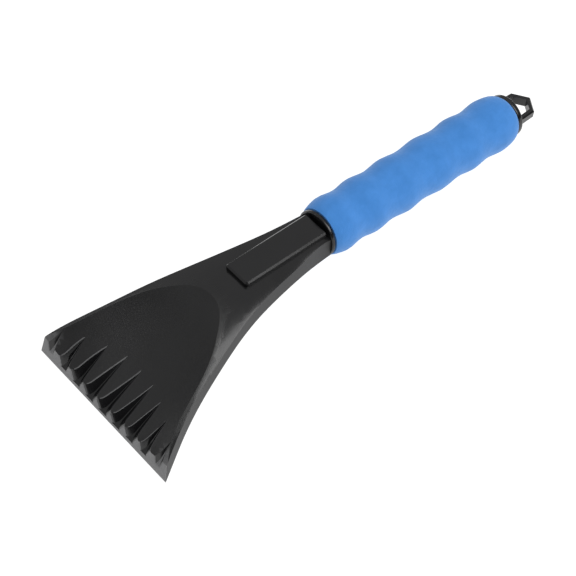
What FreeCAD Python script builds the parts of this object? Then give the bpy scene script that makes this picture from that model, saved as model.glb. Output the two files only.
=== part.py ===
"""Windshield ice scraper: one moulded head (scraping blade, ice-breaking teeth, neck and collar), a core
tube, a foam grip with finger lobes and an end cap with a hanging loop.

Millimetres, +Z up. The tool is drawn along the grip's axis, which is X: the scraping edge is at X = 0 and
the hanging loop at the far end. At the end it is laid on its scraping edge and the grip's last lobe, which
is how it lies on a table, and its origin is moved to the centre of its footprint, at the table.
"""

import FreeCAD, Part
import math
import os

V = FreeCAD.Vector

# Blade and neck: stations along X of the moulding's outside
# (along, half width, side wall top, crown, side wall foot, underside at the centre)
HEAD_STATIONS = (
    (-6.0, 52.6, -34.0, -24.0, -44.5, -43.0),
    (0.0, 50.1, -29.2, -18.9, -40.0, -40.0),
    (8.0, 46.2, -22.8, -12.0, -34.4, -36.2),
    (20.0, 40.6, -15.7, -6.0, -26.2, -30.4),
    (34.0, 35.2, -9.8, -1.4, -18.6, -23.6),
    (50.0, 29.8, -4.2, 2.0, -12.4, -16.2),
    (66.0, 24.6, 0.0, 3.9, -8.2, -10.4),
    (82.0, 20.1, 2.7, 5.1, -6.2, -7.6),
    (100.0, 16.4, 3.9, 5.8, -5.4, -6.8),
    (120.0, 13.1, 4.7, 6.2, -5.5, -7.2),
    (141.0, 11.2, 4.9, 6.4, -5.9, -8.0),
)
SHOULDER_IN = 0.8        # the rim's outer bevel: inwards
SHOULDER_UP = 0.3        # and upwards
WALL_FLARE = 0.8         # the side wall's foot stands out by this much

# The scooped face of the blade: (along, height at the centre, rise per square millimetre of width)
SCOOP_STATIONS = (
    (-8.0, -37.0, 0.0012),
    (2.0, -33.0, 0.0022),
    (10.0, -29.9, 0.0052),
    (20.0, -25.8, 0.0078),
    (34.0, -19.4, 0.0101),
    (50.0, -9.8, 0.0128),
    (62.0, -0.6, 0.0130),
    (74.0, 9.2, 0.0140),
)
SCOOP_TOP = 40.0

# Front face and teeth
EDGE_HALF = 50.9
EDGE_Z = -40.0
FACE_LEAN = 0.13         # the front face leans back by this much per millimetre of height
NOTCHES = 9
NOTCH_PITCH = 10.8
NOTCH_ROOT_HALF = 0.4
NOTCH_OVER = 1.9         # the notch's tool reaches above the face by this factor
NOSE_REACH = 4.5         # the teeth's noses are rounded, seen from above, over this length
NOSE_FLARE = 3.2         # by which a middle notch opens each way at the front
NOSE_STEPS = 6
# from the middle notch outwards: (length along X, half width at the face, root height, face height)
NOTCH_SHAPES = (
    (27.3, 4.6, -38.2, -32.4),
    (25.8, 4.5, -38.1, -32.2),
    (20.9, 3.9, -37.6, -31.6),
    (14.8, 3.0, -36.4, -30.6),
    (8.9, 1.9, -34.8, -29.6),
)

# Label pad on the neck
PAD_FRONT = 84.5
PAD_REAR = 138.5
PAD_HALF = 8.3
PAD_TOP_FRONT = 8.0
PAD_TOP_REAR = 9.2
PAD_CORNER = 1.6
PAD_BEVEL = 0.9

# Underside hollow of the neck: (along, half width at its roof, half width at its mouth, roof height)
POCKET_STATIONS = (
    (56.0, 15.0, 22.0, -11.6),
    (70.0, 13.0, 19.0, -3.4),
    (84.0, 12.0, 16.6, 2.4),
    (104.0, 9.0, 13.2, 3.6),
    (132.0, 6.8, 10.0, 4.4),
)
POCKET_MOUTH = -25.0
RIB_THICK = 2.0
CROSS_RIBS = (68.0, 82.0, 96.0, 110.0, 123.0)

# Collar, core tube and grip, all round the X axis
COLLAR_X = 140.0
COLLAR_THICK = 2.0
COLLAR_R = 13.3
RIM_ROUND = 0.7
FIT_GAP = 0.05
SPIGOT_R = 8.95
SPIGOT_BORE_R = 6.6
SPIGOT_LENGTH = 32.0
TUBE_R = 11.0
TUBE_BORE_R = 9.0
GRIP_X = 142.4
LOBE_R = 16.0
VALLEY_R = 14.85
LOBES = (19.5, 22.5, 24.5, 27.0, 22.5, 23.8)
GRIP_FRONT_R = 13.6
GRIP_REAR_R = 12.9

# End cap and hanging loop
FLANGE_X = 282.4
FLANGE_THICK = 3.6
FLANGE_R = 12.7
PLUG_LENGTH = 26.0
LOOP_OUT = 19.1          # from the flange to the loop's far corner
LOOP_CORNER = 6.4        # along X from the far corner to the side corners
LOOP_HALF = 9.2          # half width at the side corners
LOOP_BASE_HALF = 9.7     # half width where the loop meets the flange
LOOP_BAR = 2.7
LOOP_THICK = 5.6
LOOP_CHAMFER = 0.8

# Rest: the scraping edge and the underside of the last lobe touch the table
REST_X = 272.65
REST_Z = -15.89


def spline(points):
    curve = Part.BSplineCurve()
    curve.interpolate([V(*p) for p in points])
    return curve.toShape()


def line(a, b):
    return Part.makeLine(V(*a), V(*b))


def polygon_face(points):
    return Part.Face(Part.makePolygon([V(*p) for p in points] + [V(*points[0])]))


def solid_of(faces):
    return Part.makeSolid(Part.makeShell(faces))


def cylinder_x(radius, length, x):
    return Part.makeCylinder(radius, length, V(x, 0, 0), V(1, 0, 0))


def head_section(x, half, side_top, crown, foot, underside):
    """One cross-section of the moulding: crowned top, bevelled shoulders, flared side walls."""
    inner = half - SHOULDER_IN
    shoulder = side_top + SHOULDER_UP
    outer = half + WALL_FLARE
    rise = crown - shoulder
    top = [(x, f * inner, shoulder + rise * (1 - f * f)) for f in (-1, -0.5, 0, 0.5, 1)]
    drop = foot - underside
    base = [(x, -f * outer, foot - drop * (1 - f * f)) for f in (-1, -0.5, 0, 0.5, 1)]
    left, right = (x, -half, side_top), (x, half, side_top)
    edges = [spline(top), line(top[-1], right), line(right, base[0]), spline(base),
             line(base[-1], left), line(left, top[0])]
    return Part.Wire(edges)


def scoop_section(x, centre, rise, half):
    """One cross-section of the tool that scoops the blade's face out."""
    floor = [(x, f * half, centre + rise * (f * half) ** 2) for f in (-1, -0.67, -0.33, 0, 0.33, 0.67, 1)]
    a, b = (x, half, SCOOP_TOP), (x, -half, SCOOP_TOP)
    edges = [spline(floor), line(floor[-1], a), line(a, b), line(b, floor[0])]
    return Part.Wire(edges)


def scoop():
    half = EDGE_HALF + 3
    sections = [scoop_section(x, centre, rise, half) for x, centre, rise in SCOOP_STATIONS]
    return Part.makeLoft(sections, True, False)


def front_trim():
    """Everything in front of the leaning front face, and below the scraping edge."""
    top_x = FACE_LEAN * 60
    outline = [(0, EDGE_Z), (top_x, EDGE_Z + 60), (-40, EDGE_Z + 60), (-40, EDGE_Z - 20), (0, EDGE_Z - 20)]
    face = polygon_face([(x, -80, z) for x, z in outline])
    return face.extrude(V(0, 160, 0))


def scoop_height(x, y):
    """Height of the scooped face, linear between its stations; the notches end on it."""
    for (x0, c0, k0), (x1, c1, k1) in zip(SCOOP_STATIONS, SCOOP_STATIONS[1:]):
        if x0 <= x <= x1:
            t = (x - x0) / (x1 - x0)
            return c0 + t * (c1 - c0) + (k0 + t * (k1 - k0)) * y * y
    raise ValueError("outside the scoop")


def notch_ring(distance, centre, shape, tip_height):
    """Section of a notch's tool at this distance behind the front face, wider inside the teeth's rounding."""
    length, half, root, face = shape
    behind = max(0.0, distance)
    inside = max(0.0, 1 - behind / NOSE_REACH)
    flare = NOSE_FLARE * half / NOTCH_SHAPES[0][1] * (1 - math.sqrt(1 - inside ** 2))
    taper = behind / length
    low_z = root + taper * (tip_height - root)
    high_z = low_z + NOTCH_OVER * (1 - taper) * (face - root)
    low = NOTCH_ROOT_HALF * (1 - taper) + flare
    high = low + NOTCH_OVER * (1 - taper) * (half - NOTCH_ROOT_HALF)
    corners = [(-low, low_z), (low, low_z), (high, high_z), (-high, high_z)]
    return [(distance + (1 - taper) * FACE_LEAN * (z - EDGE_Z), centre + y, z) for y, z in corners]


def notch(centre, shape):
    """A V notch that narrows to a point on the scooped face and opens round the teeth's noses."""
    length = shape[0]
    tip = (length, centre, scoop_height(length, centre) + 0.15)
    steps = [NOSE_REACH * (i / NOSE_STEPS) ** 1.6 for i in range(NOSE_STEPS + 1)]
    rings = [notch_ring(distance, centre, shape, tip[2]) for distance in [-4.0] + steps]
    faces = [polygon_face(rings[0])]
    for ring, after in zip(rings, rings[1:]):
        for k in range(4):
            m = (k + 1) % 4
            faces.append(polygon_face([ring[k], ring[m], after[k]]))
            faces.append(polygon_face([ring[m], after[m], after[k]]))
    last = rings[-1]
    for a, b in zip(last, last[1:] + last[:1]):
        faces.append(polygon_face([a, b, tip]))
    return solid_of(faces)


def notches():
    tools = []
    middle = NOTCHES // 2
    for i in range(NOTCHES):
        tools.append(notch((i - middle) * NOTCH_PITCH, NOTCH_SHAPES[abs(i - middle)]))
    return tools


def label_pad():
    """Raised plate on the neck, bevelled round its top."""
    low = -2.0
    plan = Part.makeBox(PAD_REAR - PAD_FRONT, 2 * PAD_HALF, 20, V(PAD_FRONT, -PAD_HALF, low))
    corners = [e for e in plan.Edges if abs(e.BoundBox.ZLength - 20) < 0.1 and e.BoundBox.XMax < PAD_FRONT + 1]
    plan = plan.makeFillet(PAD_CORNER, corners)
    slope = (PAD_TOP_REAR - PAD_TOP_FRONT) / (PAD_REAR - PAD_FRONT)
    top = [(PAD_FRONT - 5, PAD_TOP_FRONT - 5 * slope), (PAD_REAR + 5, PAD_TOP_REAR + 5 * slope)]
    outline = [top[0], top[1], (top[1][0], 40), (top[0][0], 40)]
    lid = polygon_face([(x, -30, z) for x, z in outline]).extrude(V(0, 60, 0))
    pad = plan.cut(lid)
    rim = [e for e in pad.Edges if e.BoundBox.ZMin > low + 5 and e.BoundBox.XMin < PAD_REAR - 1]
    return pad.makeChamfer(PAD_BEVEL, rim)


def neck_pocket():
    """The hollow under the neck, with its stiffening ribs left standing."""
    sections = []
    for x, roof_half, mouth_half, roof in POCKET_STATIONS:
        corners = [(x, -roof_half, roof), (x, roof_half, roof), (x, mouth_half, POCKET_MOUTH),
                   (x, -mouth_half, POCKET_MOUTH)]
        sections.append(Part.makePolygon([V(*p) for p in corners] + [V(*corners[0])]))
    hollow = Part.makeLoft(sections, True, True)
    ribs = [Part.makeBox(120, RIB_THICK, 60, V(40, -RIB_THICK / 2, -40))]
    for x in CROSS_RIBS:
        ribs.append(Part.makeBox(RIB_THICK, 80, 60, V(x - RIB_THICK / 2, -40, -40)))
    return hollow.cut(ribs)


def rounded_disc(x, thick, radius, edge):
    disc = cylinder_x(radius, thick, x)
    rims = [e for e in disc.Edges if e.BoundBox.YLength > radius and e.BoundBox.XLength < 0.01]
    return disc.makeFillet(edge, rims)


def scraper_head():
    body = Part.makeLoft([head_section(*station) for station in HEAD_STATIONS], True, False)
    body = body.cut([scoop(), front_trim()] + notches())
    body = body.fuse(label_pad())
    body = body.cut(neck_pocket())
    collar = rounded_disc(COLLAR_X, COLLAR_THICK, COLLAR_R, RIM_ROUND)
    start = COLLAR_X + COLLAR_THICK / 2
    spigot = cylinder_x(SPIGOT_R, SPIGOT_LENGTH, start)
    bore = cylinder_x(SPIGOT_BORE_R, SPIGOT_LENGTH, COLLAR_X + COLLAR_THICK + 1)
    return body.fuse([collar, spigot]).cut(bore).removeSplitter()


def core_tube():
    start = COLLAR_X + COLLAR_THICK + FIT_GAP
    length = FLANGE_X - FIT_GAP - start
    return cylinder_x(TUBE_R, length, start).cut(cylinder_x(TUBE_BORE_R, length, start))


def lobe_outline():
    """Points of the grip's wavy outside: every lobe is a half cosine up and a half cosine down."""
    points = []
    x = GRIP_X
    mean = (LOBE_R + VALLEY_R) / 2
    swing = (LOBE_R - VALLEY_R) / 2
    steps = 8
    for n, length in enumerate(LOBES):
        for i in range(steps):
            t = i / steps
            points.append((x + t * length, mean - swing * math.cos(2 * math.pi * t)))
        x += length
    points.append((x, VALLEY_R))
    return points


def grip_end_round(x, radius_here, distance, end_radius, reach):
    """Shrink the radius near an end of the grip along a quarter ellipse."""
    if distance >= reach:
        return radius_here
    t = 1 - distance / reach
    return end_radius + (radius_here - end_radius) * math.sqrt(max(0.0, 1 - t * t))


def foam_grip():
    outline = lobe_outline()
    first, last = outline[0][0], outline[-1][0]
    outer = []
    for x, r in outline:
        r = grip_end_round(x, r, x - first, GRIP_FRONT_R, 7.0)
        r = grip_end_round(x, r, last - x, GRIP_REAR_R, 7.0)
        outer.append((x, 0, r))
    bore = TUBE_R + FIT_GAP
    a, b = (first, 0, bore), (last, 0, bore)
    wire = Part.Wire([line(a, outer[0]), spline(outer), line(outer[-1], b), line(b, a)])
    return Part.Face(wire).revolve(V(0, 0, 0), V(1, 0, 0), 360)


def loop_outline(inset, back):
    """The hanging loop's outline in plan, moved inwards by inset: a five-sided house with its ridge outwards."""
    slope = LOOP_CORNER / LOOP_HALF
    tip = FLANGE_X + FLANGE_THICK + LOOP_OUT - inset * math.hypot(1, slope)
    half, base = LOOP_HALF - inset, LOOP_BASE_HALF - inset
    corner = tip - half * slope
    return [(back, base), (corner, half), (tip, 0), (corner, -half), (back, -base)]


def loop_ring():
    """The hanging loop, flat in the XY plane, chamfered all round."""
    start = FLANGE_X + FLANGE_THICK - 0.5
    ring = polygon_face([(x, y, -LOOP_THICK / 2) for x, y in loop_outline(0, start)])
    ring = ring.extrude(V(0, 0, LOOP_THICK))
    level = [e for e in ring.Edges if e.BoundBox.ZLength < 0.01 and e.BoundBox.XMax > start + 0.1]
    ring = ring.makeChamfer(LOOP_CHAMFER, level)
    hole = loop_outline(LOOP_BAR, FLANGE_X + FLANGE_THICK + 0.3)
    cutter = polygon_face([(x, y, -LOOP_THICK) for x, y in hole]).extrude(V(0, 0, 2 * LOOP_THICK))
    return ring.cut(cutter)


def end_cap():
    flange = rounded_disc(FLANGE_X, FLANGE_THICK, FLANGE_R, 1.1)
    plug = cylinder_x(SPIGOT_R, PLUG_LENGTH, FLANGE_X + 0.5 - PLUG_LENGTH)
    plug = plug.cut(cylinder_x(SPIGOT_BORE_R, PLUG_LENGTH, FLANGE_X - 0.5 - PLUG_LENGTH))
    return flange.fuse([plug, loop_ring()]).removeSplitter()


def lay_down(shapes):
    """Tilt the whole tool until the edge and the last lobe are level, then centre it on the table."""
    tilt = math.degrees(math.atan2(REST_Z - EDGE_Z, REST_X))
    for shape in shapes.values():
        shape.rotate(V(0, 0, 0), V(0, 1, 0), tilt)
    box = Part.makeCompound(list(shapes.values())).optimalBoundingBox()
    move = V(-(box.XMin + box.XMax) / 2, -(box.YMin + box.YMax) / 2, -box.ZMin)
    for shape in shapes.values():
        shape.translate(move)
    print("tilt %.3f degrees, moved by %.3f %.3f %.3f" % (tilt, move.x, move.y, move.z))


def main():
    os.makedirs("parts", exist_ok=True)
    shapes = {"scraper_head": scraper_head(), "core_tube": core_tube(), "foam_grip": foam_grip(),
              "end_cap": end_cap()}
    lay_down(shapes)
    for name, shape in shapes.items():
        box = shape.optimalBoundingBox()
        print(name, shape.ShapeType, "valid", shape.isValid(), "solids", len(shape.Solids),
              "volume %.0f" % shape.Volume, "size %.1f %.1f %.1f" % (box.XLength, box.YLength, box.ZLength))
        shape.exportStep("parts/%s.step" % name)


main()
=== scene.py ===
"""Windshield ice scraper: materials, foam grip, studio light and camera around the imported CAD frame.

Metres, row frame: +X from the scraping edge to the hanging loop, +Y across the blade, +Z up.
"""
import math

import bmesh
import bpy
import numpy as np
from mathutils import Matrix, Vector, noise
from mathutils.bvhtree import BVHTree

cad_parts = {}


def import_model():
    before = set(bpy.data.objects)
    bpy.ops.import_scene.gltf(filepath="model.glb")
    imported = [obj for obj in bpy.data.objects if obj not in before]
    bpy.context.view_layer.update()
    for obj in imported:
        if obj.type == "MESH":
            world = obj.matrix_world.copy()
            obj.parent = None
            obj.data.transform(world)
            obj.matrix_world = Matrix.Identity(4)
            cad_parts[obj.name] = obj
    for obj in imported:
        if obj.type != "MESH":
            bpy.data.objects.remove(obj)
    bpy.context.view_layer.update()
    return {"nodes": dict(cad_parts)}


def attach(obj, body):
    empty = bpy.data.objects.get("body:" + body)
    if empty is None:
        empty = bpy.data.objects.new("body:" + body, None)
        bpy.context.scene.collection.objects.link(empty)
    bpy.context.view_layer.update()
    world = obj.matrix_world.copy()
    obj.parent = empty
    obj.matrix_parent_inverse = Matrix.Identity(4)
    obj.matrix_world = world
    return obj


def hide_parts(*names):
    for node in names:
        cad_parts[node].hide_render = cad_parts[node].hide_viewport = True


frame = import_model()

MM = 0.001
# The tool is drawn along its grip's axis and then laid down: this tilt and this move
TILT = math.atan2(24.11, 272.65)
ORIGIN = Vector((-150.283 * MM, 0.0, 39.846 * MM))
GRIP_START = 142.4
GRIP_END = 282.2


def to_row(x, y, z):
    """A point of the grip's own frame, in millimetres, in the row frame."""
    c, s = math.cos(TILT), math.sin(TILT)
    return ORIGIN + Vector((x * c + z * s, y, -x * s + z * c)) * MM


def to_axis(point):
    """A point of the row frame in the grip's own frame, in millimetres."""
    c, s = math.cos(TILT), math.sin(TILT)
    p = (point - ORIGIN) / MM
    return Vector((p.x * c - p.z * s, p.y, p.x * s + p.z * c))


# ---------------------------------------------------------------- node helpers

def material(name):
    mat = bpy.data.materials.new(name)
    mat.use_nodes = True
    tree = mat.node_tree
    return mat, tree, tree.nodes["Principled BSDF"]


def node(tree, kind, inputs=(), **settings):
    n = tree.nodes.new(kind)
    for key, value in settings.items():
        setattr(n, key, value)
    for key, value in dict(inputs).items():
        socket = n.inputs[key]
        if isinstance(value, bpy.types.NodeSocket):
            tree.links.new(value, socket)
        else:
            socket.default_value = value
    return n


def multiply(tree, a, b):
    return node(tree, "ShaderNodeMath", {0: a, 1: b}, operation="MULTIPLY").outputs[0]


def noise_tex(tree, vector, scale, detail=2.0, rough=0.5):
    inputs = {"Vector": vector, "Scale": scale, "Detail": detail, "Roughness": rough}
    return node(tree, "ShaderNodeTexNoise", inputs).outputs["Fac"]


def map_range(tree, value, a, b, c, d):
    n = node(tree, "ShaderNodeMapRange", {0: value, 1: a, 2: b, 3: c, 4: d})
    return n.outputs[0]


def ramp(tree, fac, stops):
    n = node(tree, "ShaderNodeValToRGB", {"Fac": fac})
    elements = n.color_ramp.elements
    while len(elements) < len(stops):
        elements.new(0.5)
    for e, (pos, color) in zip(elements, stops):
        e.position = pos
        e.color = (*color, 1.0)
    return n.outputs["Color"]


def mix(tree, fac, a, b):
    return node(tree, "ShaderNodeMix", {0: fac, 2: a, 3: b}).outputs[0]


def stretched(tree, vector, scale):
    return node(tree, "ShaderNodeMapping", {"Vector": vector, "Scale": scale}).outputs["Vector"]


def bump(tree, height, distance, strength=1.0, normal=None):
    inputs = {"Height": height, "Distance": distance, "Strength": strength}
    if normal is not None:
        inputs["Normal"] = normal
    return node(tree, "ShaderNodeBump", inputs).outputs["Normal"]


def rounded(tree, radius):
    """Normals rounded at the edges, as a moulding's edges are."""
    return node(tree, "ShaderNodeBevel", {"Radius": radius * MM}, samples=6).outputs["Normal"]


def object_coords(tree):
    return node(tree, "ShaderNodeTexCoord").outputs["Object"]


def zone(tree, name):
    """One of the zones that paint_zones leaves on the head."""
    return node(tree, "ShaderNodeAttribute", attribute_name=name).outputs["Fac"]


# ---------------------------------------------------------------- materials

SATIN_ROUGH = 0.5
WEAR_AND_HIGHLIGHT_ROUGH = 0.55
# Pale colour of the front face, partly wear and partly painted reflection, and of the painted highlight on
# the -Y crests.
WEAR_AND_HIGHLIGHT_COLOR = (0.22, 0.22, 0.225, 1.0)
EDGE_ROUND = 0.35        # radius that the cap's and tube's edges are shaded with, in millimetres


def head_material():
    """Black moulding: glossy neck and rims, satin walls, grained scooped face; the front face pale partly
    from wear and partly as painted reflection, and a painted highlight along the crests that look to -Y.
    """
    mat, t, p = material("black_moulded_plastic")
    co = object_coords(t)
    grain_zone, wear_and_highlight_zone, satin_zone = zone(t, "grain"), zone(t, "wear_and_highlight"), zone(t, "satin")
    grain = noise_tex(t, co, 2600.0, 3.0, 0.6)
    orange = noise_tex(t, co, 420.0, 2.0)
    cloud = noise_tex(t, co, 55.0, 4.0)
    scratch = noise_tex(t, stretched(t, co, (0.08, 1.0, 1.0)), 1500.0, 3.0, 0.6)
    n = bump(t, multiply(t, grain, grain_zone), 0.00016, 0.8)
    n = bump(t, orange, 0.00012, 0.12, n)
    n = bump(t, multiply(t, scratch, wear_and_highlight_zone), 0.0001, 0.2, n)
    t.links.new(n, p.inputs["Normal"])
    smooth_rough = map_range(t, cloud, 0.3, 0.7, 0.17, 0.24)
    grain_rough = map_range(t, cloud, 0.3, 0.7, 0.42, 0.50)
    rough = mix(t, satin_zone, mix(t, grain_zone, smooth_rough, grain_rough), SATIN_ROUGH)
    t.links.new(mix(t, wear_and_highlight_zone, rough, WEAR_AND_HIGHLIGHT_ROUGH), p.inputs["Roughness"])
    black = ramp(t, cloud, [(0.3, (0.0045, 0.0045, 0.0050)), (0.7, (0.0065, 0.0065, 0.0072))])
    # Pale colour: on the front face partly wear and partly painted reflection, on the -Y crests a painted
    # highlight.
    wear_and_highlight_mix = multiply(t, wear_and_highlight_zone, map_range(t, scratch, 0.35, 0.65, 0.8, 1.0))
    color = node(t, "ShaderNodeMix", {"Factor": wear_and_highlight_mix, "A": black, "B": WEAR_AND_HIGHLIGHT_COLOR}, data_type="RGBA")
    t.links.new(color.outputs[2], p.inputs["Base Color"])
    return mat


def gloss_material(name, low, high):
    """Plain black moulding with softened edges, its roughness wandering between low and high."""
    mat, t, p = material(name)
    co = object_coords(t)
    cloud = noise_tex(t, co, 120.0, 4.0)
    n = bump(t, noise_tex(t, co, 700.0, 2.0), 0.0001, 0.10, rounded(t, EDGE_ROUND))
    t.links.new(n, p.inputs["Normal"])
    t.links.new(map_range(t, cloud, 0.3, 0.7, low, high), p.inputs["Roughness"])
    color = ramp(t, cloud, [(0.3, (0.008, 0.008, 0.0085)), (0.7, (0.012, 0.012, 0.013))])
    t.links.new(color, p.inputs["Base Color"])
    return mat


def foam_material():
    """Closed-cell foam: matte, faintly mottled, with fine pores."""
    mat, t, p = material("blue_foam")
    co = object_coords(t)
    mottle = noise_tex(t, co, 140.0, 5.0, 0.6)
    pores = {"Vector": co, "Scale": 1500.0, "Randomness": 1.0}
    cells = node(t, "ShaderNodeTexVoronoi", pores).outputs["Distance"]
    fine = noise_tex(t, co, 900.0, 3.0, 0.65)
    color = ramp(t, mottle, [(0.30, (0.047, 0.222, 0.60)), (0.70, (0.063, 0.262, 0.69))])
    t.links.new(color, p.inputs["Base Color"])
    n = bump(t, fine, 0.0002, 0.5)
    n = bump(t, cells, 0.0001, 0.5, n)
    t.links.new(n, p.inputs["Normal"])
    t.links.new(map_range(t, fine, 0.3, 0.7, 0.78, 0.92), p.inputs["Roughness"])
    p.inputs["Specular IOR Level"].default_value = 0.3
    p.inputs["Sheen Weight"].default_value = 0.3
    p.inputs["Sheen Roughness"].default_value = 0.5
    p.inputs["Sheen Tint"].default_value = (0.75, 0.88, 1.0, 1.0)
    return mat


def set_material(obj, mat):
    obj.data.materials.clear()
    obj.data.materials.append(mat)


# ---------------------------------------------------------------- pieces

def mesh_object(name, verts, faces):
    me = bpy.data.meshes.new(name)
    me.from_pydata(verts, [], faces)
    me.update()
    obj = bpy.data.objects.new(name, me)
    bpy.context.scene.collection.objects.link(obj)
    return obj


def edit_mesh(obj, edit):
    """Runs edit on the piece's mesh."""
    bm = bmesh.new()
    bm.from_mesh(obj.data)
    edit(bm)
    bm.to_mesh(obj.data)
    bm.free()


def shade_smooth(obj, angle):
    """Smooth shading, with edges sharper than this angle in degrees kept sharp."""
    obj.data.polygons.foreach_set("use_smooth", [True] * len(obj.data.polygons))
    obj.data.set_sharp_from_angle(angle=math.radians(angle))


def search_tree(name):
    """The CAD node's surface, to be searched by rays."""
    me = frame["nodes"][name].data
    return BVHTree.FromPolygons([v.co for v in me.vertices], [p.vertices for p in me.polygons])


RAY_START = 40.0         # millimetres from the axis, outside the foam
RAY_LENGTH = 0.05        # metres
RAY_ANGLE = 0.3          # the foam is round, so any angle does
GRIP_RINGS = 260
GRIP_SIDES = 200
GRIP_MARGIN = 0.15       # how far the skin stays inside the CAD foam's ends, in millimetres
GRIP_BORE = 11.08        # its ends come down to this radius, just off the tube
UNEVEN = 0.10            # how far the foam's skin wanders, in millimetres
UNEVEN_INWARDS = 0.8     # as much of it as keeps the skin mostly inside the CAD radius


def foam_radius(tree, x, angle):
    """Radius of the CAD foam at this station, read from outside inwards."""
    radial = Vector((0, math.cos(angle), math.sin(angle)))
    outside = to_row(x, radial.y * RAY_START, radial.z * RAY_START)
    inside = to_row(x, 0, 0)
    hit = tree.ray_cast(outside, (inside - outside).normalized(), RAY_LENGTH)[0]
    return (hit - inside).length / MM


def skin_radius(x, y, z, r):
    """The radius with broad and fine unevenness; y and z say which way round the axis."""
    n = noise.noise(Vector((x * 0.16, y * r * 0.16, z * r * 0.16)))
    n += 0.5 * noise.noise(Vector((x * 0.5, y * r * 0.5, z * r * 0.5)))
    return r + UNEVEN * (n - UNEVEN_INWARDS)


def foam_grip():
    """The grip's outside, from the CAD radius with an uneven skin, closed at its ends down to the tube."""
    tree = search_tree("foam_grip")
    radii = []
    for i in range(GRIP_RINGS + 1):
        x = GRIP_START + GRIP_MARGIN + (GRIP_END - GRIP_START - 2 * GRIP_MARGIN) * i / GRIP_RINGS
        radii.append((x, foam_radius(tree, x, RAY_ANGLE)))
    profile = [(radii[0][0], GRIP_BORE)] + radii + [(radii[-1][0], GRIP_BORE)]
    verts, faces = [], []
    for x, r in profile:
        for k in range(GRIP_SIDES):
            a = 2 * math.pi * k / GRIP_SIDES
            y, z = math.cos(a), math.sin(a)
            skin = r if r == GRIP_BORE else skin_radius(x, y, z, r)
            verts.append(to_row(x, y * skin, z * skin))
    rings = len(profile)
    for i in range(rings):
        here, there = i * GRIP_SIDES, (i + 1) % rings * GRIP_SIDES
        for k in range(GRIP_SIDES):
            m = (k + 1) % GRIP_SIDES
            faces.append((here + k, here + m, there + m, there + k))
    obj = mesh_object("grip_sleeve", verts, faces)
    edit_mesh(obj, lambda bm: bmesh.ops.recalc_face_normals(bm, faces=bm.faces))
    shade_smooth(obj, 50)
    set_material(obj, foam_material())
    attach(obj, "root")
    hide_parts("foam_grip")


def crease_x(y):
    """Where the scooped face ends, along the axis, for this distance from the middle."""
    return 68.9 - 0.0302 * y * y


def copy_of(node_name, name):
    src = frame["nodes"][node_name]
    me = src.data.copy()
    me.name = name
    obj = bpy.data.objects.new(name, me)
    bpy.context.scene.collection.objects.link(obj)
    return obj


def join_faces(bm):
    bmesh.ops.remove_doubles(bm, verts=bm.verts, dist=2e-6)
    bmesh.ops.dissolve_limit(bm, angle_limit=math.radians(0.5), verts=bm.verts, edges=bm.edges)


def weld(obj):
    """Joins the CAD mesh's loose corners and flat neighbours, and drops normals that no longer fit it."""
    edit_mesh(obj, join_faces)
    if "custom_normal" in obj.data.attributes:
        obj.data.attributes.remove(obj.data.attributes["custom_normal"])


CREST_ROUND = 0.34       # how far the rounding of the teeth's crests reaches, in millimetres
CREST_HIGHLIGHT = 0.6         # how strongly the painted highlight pales the crests that look to -Y, against the front face's 1
CREST_ANGLE = math.radians(24)
TEETH_START, TEETH_END = 0.5, 29.0


def axis_normal(face):
    """The face's normal in the grip's own frame."""
    return Matrix.Rotation(-TILT, 3, "Y") @ face.normal


def crest_side(edge):
    """-1 or 1, which way the steep wall looks, where the scooped face meets a notch; 0 at other edges."""
    if len(edge.link_faces) != 2 or not edge.is_convex or edge.calc_face_angle(0) < CREST_ANGLE:
        return 0
    middle = to_axis((edge.verts[0].co + edge.verts[1].co) / 2)
    top, wall = sorted((axis_normal(f) for f in edge.link_faces), key=lambda n: abs(n.y))
    faces_fit = top.z > 0.6 and abs(top.y) < 0.56 and abs(wall.y) > 0.6 and wall.z > 0.3
    if TEETH_START < middle.x < TEETH_END and faces_fit:
        return -1 if wall.y < 0 else 1
    return 0


def nearest_on(point, segments):
    """The nearest point to the given one on any of the segments, and that segment's side."""
    best = None
    for a, b, side in segments:
        along = b - a
        t = max(0.0, min(1.0, (point - a).dot(along) / max(along.length_squared, 1e-18)))
        near = a + along * t
        if best is None or (near - point).length < (best[0] - point).length:
            best = near, side
    return best


def round_crests(bm):
    """Rounds the notch crests; a corner thrown out where two crests meet is drawn back on to the piece."""
    skin = BVHTree.FromBMesh(bm)
    layer = bm.faces.layers.int.new("crest")
    crests = [e for e in bm.edges if crest_side(e)]
    segments = [(e.verts[0].co.copy(), e.verts[1].co.copy(), crest_side(e)) for e in crests]
    reach = CREST_ROUND * MM
    made = bmesh.ops.bevel(bm, geom=crests, offset=reach, offset_type="OFFSET", segments=3,
                           profile=0.5, affect="EDGES", clamp_overlap=False)
    for vert in made["verts"]:
        near = nearest_on(vert.co, segments)[0]
        if (vert.co - near).length > 1.05 * reach:
            vert.co = skin.find_nearest(near + (vert.co - near).normalized() * reach)[0]
    for face in made["faces"]:
        face[layer] = nearest_on(face.calc_center_median(), segments)[1]
    bmesh.ops.dissolve_degenerate(bm, dist=1e-6, edges=bm.edges)


def ramp_between(value, low, high):
    """0 below low, 1 above high, and straight in between."""
    return max(0.0, min(1.0, (value - low) / (high - low)))


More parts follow.
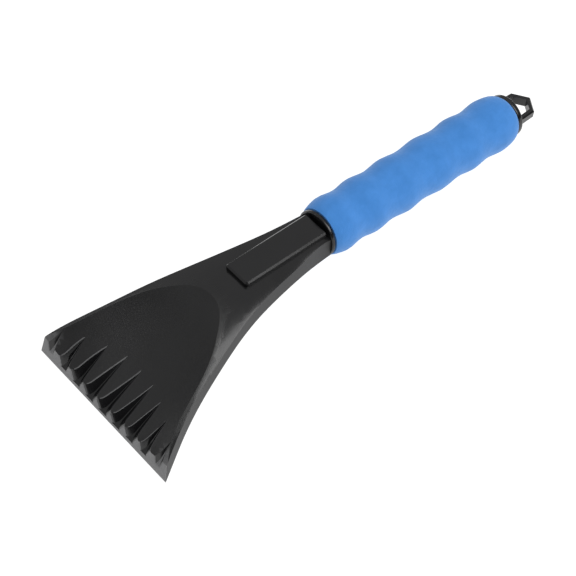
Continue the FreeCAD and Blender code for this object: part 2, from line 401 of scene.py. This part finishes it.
def paint_zones(obj):
    """Corner by corner: grain on the scooped face, satin side walls, a front face pale from wear and
    painted reflection, and a painted highlight on the crests.
    """
    me = obj.data
    zones = {name: [] for name in ("grain", "wear_and_highlight", "satin")}
    for face, crest in zip(me.polygons, me.attributes["crest"].data):
        n = axis_normal(face)
        face_up = ramp_between(n.z, 0.5, 0.6) * ramp_between(0.66 - abs(n.y), 0.0, 0.06)
        face_up *= crest.value == 0
        # The front face is paled partly as wear and partly as a painted reflection of the bright floor in
        # front of it.
        front = ramp_between(-n.x - n.z, 0.0, 0.25) * ramp_between(0.5 - abs(n.y), 0.0, 0.25)
        side = ramp_between(abs(n.y), 0.75, 0.85) * ramp_between(0.4 - abs(n.z), 0.0, 0.1)
        # Painted highlight: the crests that look to -Y are paled where their rounded edges would catch the
        # light.
        crest_highlight = CREST_HIGHLIGHT * (crest.value == -1) * ramp_between(-n.y, 0.1, 0.3)
        for index in face.vertices:
            p = to_axis(me.vertices[index].co)
            inside = ramp_between(crease_x(p.y) - p.x, -0.3, 0.3)
            zones["grain"].append(face_up * inside * ramp_between(p.z, -37.5, -36.0))
            zones["wear_and_highlight"].append(max(front * ramp_between(8.0 - p.x, 0.0, 2.0), crest_highlight))
            zones["satin"].append(side)
    for name, values in zones.items():
        me.attributes.new(name, "FLOAT", "CORNER").data.foreach_set("value", np.array(values, np.float32))


def scraper_head():
    obj = copy_of("scraper_head", "moulded_head")
    weld(obj)
    edit_mesh(obj, round_crests)
    paint_zones(obj)
    shade_smooth(obj, 32)
    set_material(obj, head_material())
    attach(obj, "root")
    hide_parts("scraper_head")


# ---------------------------------------------------------------- stage, light, camera

FLOOR_GLOW = 0.9
FLOOR_HALF = 40
FLOOR_DROP = 0.0002


def floor():
    h, z = FLOOR_HALF, -FLOOR_DROP
    obj = mesh_object("floor", [(-h, -h, z), (h, -h, z), (h, h, z), (-h, h, z)], [(0, 1, 2, 3)])
    mat, _, p = material("pale_floor")
    p.inputs["Base Color"].default_value = (0.3, 0.3, 0.3, 1.0)
    p.inputs["Roughness"].default_value = 0.9
    p.inputs["Specular IOR Level"].default_value = 0.0
    p.inputs["Emission Color"].default_value = (1, 1, 1, 1)
    p.inputs["Emission Strength"].default_value = FLOOR_GLOW
    set_material(obj, mat)


def softbox(name, direction, distance, size, radiance):
    """A square light, this far off in this direction; radiance is how bright the tool sees it."""
    data = bpy.data.lights.new(name, "AREA")
    data.shape = "SQUARE"
    data.size = size
    data.energy = radiance * math.pi * size * size
    obj = bpy.data.objects.new(name, data)
    obj.location = Vector(direction).normalized() * distance
    obj.rotation_euler = (-obj.location).to_track_quat("-Z", "Y").to_euler()
    obj.visible_camera = False
    bpy.context.scene.collection.objects.link(obj)


# The studio's dome: its brightest direction, and its brightness by the cosine of the angle away from it
DOME_AXIS = (-0.1, 0.5, 0.86)
DOME = ((-0.3, 0.03), (0.0, 0.07), (0.3, 0.20), (0.55, 0.38), (0.8, 0.58), (1.0, 0.58))


def world():
    """The soft studio dome."""
    w = bpy.data.worlds.new("studio")
    w.use_nodes = True
    t = w.node_tree
    direction = node(t, "ShaderNodeTexCoord").outputs["Generated"]
    axis = Vector(DOME_AXIS).normalized()
    dot = node(t, "ShaderNodeVectorMath", {0: direction, 1: axis}, operation="DOT_PRODUCT")
    peak = max(level for _, level in DOME)
    stops = [((cosine + 1) / 2, (level / peak,) * 3) for cosine, level in DOME]
    color = ramp(t, map_range(t, dot.outputs["Value"], -1, 1, 0, 1), stops)
    bg = t.nodes["Background"]
    t.links.new(color, bg.inputs["Color"])
    bg.inputs["Strength"].default_value = peak
    bpy.context.scene.world = w


# The camera in the grip's own frame: its place in millimetres, and which way its axes point
CAMERA_SPOT = (-274.3, -365.6, 630.2)
CAMERA_RIGHT = Vector((0.7456, -0.6611, 0.0837))
CAMERA_UP = Vector((0.4766, 0.6169, 0.6263))
CAMERA_BACK = Vector((-0.4656, -0.4271, 0.7751))
CAMERA_LENS = 100.26


def camera():
    data = bpy.data.cameras.new("camera")
    data.sensor_width = 36.0
    data.lens = CAMERA_LENS
    data.clip_start = 0.05
    data.clip_end = 20
    obj = bpy.data.objects.new("camera", data)
    axes = Matrix((CAMERA_RIGHT, CAMERA_UP, CAMERA_BACK)).transposed()
    rotation = Matrix.Rotation(TILT, 3, "Y") @ axes
    obj.matrix_world = Matrix.Translation(to_row(*CAMERA_SPOT)) @ rotation.to_4x4()
    bpy.context.scene.collection.objects.link(obj)
    bpy.context.scene.camera = obj


scraper_head()
foam_grip()
set_material(frame["nodes"]["end_cap"], gloss_material("black_gloss_plastic", 0.14, 0.22))
set_material(frame["nodes"]["core_tube"], gloss_material("black_tube", 0.4, 0.5))
floor()
world()
softbox("key", (0.25, -0.45, 0.86), 1.6, 1.05, 4.0)
softbox("side", (0.45, -0.66, 0.60), 1.6, 0.6, 4.0)
camera()
bpy.context.scene.view_settings.view_transform = "Standard"
bpy.context.scene.view_settings.look = "None"
